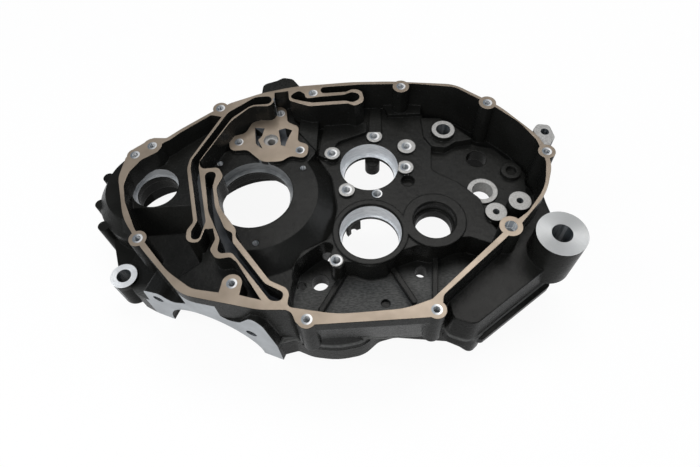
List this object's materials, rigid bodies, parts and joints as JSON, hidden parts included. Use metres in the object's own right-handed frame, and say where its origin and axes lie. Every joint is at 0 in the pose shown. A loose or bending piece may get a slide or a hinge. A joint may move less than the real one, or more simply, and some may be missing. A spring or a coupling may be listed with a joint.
{
  "type": "motorcycle crankcase half",
  "caption": "Right crankcase half of a single-cylinder engine: bearing web, clutch bowl with gasket rail and oil galleries, cylinder face and rear pivot arm.",
  "frame": {"origin": "crankshaft axis at the joint face between the two halves", "axes": "+Z along the crankshaft out of the clutch side, +X back towards the swingarm, +Y towards the sump"},
  "size_m": [0.4074, 0.2624, 0.087],
  "materials": {
    "black_casting": "satin black paint over sand-fine cast skin, machined faces and bores left bare"
  },
  "bodies": {
    "root": {"crankcase_casting": "black_casting"}
  },
  "joints": []
}
